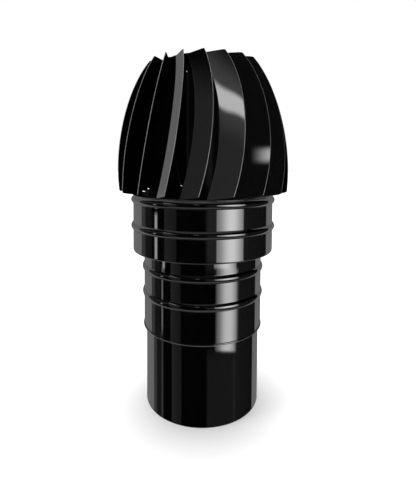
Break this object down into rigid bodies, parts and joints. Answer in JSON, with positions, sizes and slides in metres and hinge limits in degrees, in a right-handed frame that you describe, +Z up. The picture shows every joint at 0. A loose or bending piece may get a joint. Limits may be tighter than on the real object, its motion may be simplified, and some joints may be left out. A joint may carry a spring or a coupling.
{
  "type": "roof turbine ventilator",
  "caption": "Wind-driven roof ventilator: egg-shaped head of overlapping flat leaves turning on a stepped, beaded collar over a round duct pipe.",
  "frame": {"origin": "centre of the duct pipe's foot", "axes": "+Z up the pipe along the head's spin axis; -Y is the front seen in the picture, +X to its right"},
  "size_m": [0.2216, 0.2238, 0.4573],
  "materials": {
    "leaf_enamel": "gloss black stove enamel on thin steel sheet",
    "collar_enamel": "gloss black stove enamel on thin steel sheet",
    "pipe_enamel": "gloss black stove enamel on steel tube",
    "hub_enamel": "satin black enamel",
    "bracket_enamel": "satin black enamel",
    "spindle_steel": "ground stainless steel",
    "fixing_steel": "plated steel",
    "seal_rubber": "soft matte",
    "bush_acetal": "turned natural acetal"
  },
  "bodies": {
    "base": {"duct_pipe": "pipe_enamel", "pipe_seal": "seal_rubber", "lower_collar": "collar_enamel", "upper_collar": "collar_enamel", "bearing_bracket": "bracket_enamel", "spindle": "spindle_steel", "retaining_clip": "spindle_steel", "spindle_washer": "fixing_steel", "spindle_nut": "fixing_steel"},
    "turbine": {"leaf_01": "leaf_enamel", "leaf_02": "leaf_enamel", "leaf_03": "leaf_enamel", "leaf_04": "leaf_enamel", "leaf_05": "leaf_enamel", "leaf_06": "leaf_enamel", "leaf_07": "leaf_enamel", "leaf_08": "leaf_enamel", "leaf_09": "leaf_enamel", "leaf_10": "leaf_enamel", "leaf_11": "leaf_enamel", "leaf_12": "leaf_enamel", "leaf_13": "leaf_enamel", "leaf_14": "leaf_enamel", "leaf_15": "leaf_enamel", "leaf_16": "leaf_enamel", "leaf_17": "leaf_enamel", "leaf_18": "leaf_enamel", "crown_plate": "leaf_enamel", "foot_ring": "leaf_enamel", "hub_sleeve": "hub_enamel", "lower_bush": "bush_acetal", "upper_bush": "bush_acetal", "thrust_pad": "bush_acetal", "hub_cap": "hub_enamel", "hub_screws": "fixing_steel"}
  },
  "joints": [
    {"name": "turbine_spin", "type": "hinge", "parent": "base", "child": "turbine", "pos_m": [0, 0, 0.36], "axis": [0, 0, 1], "continuous": true}
  ]
}
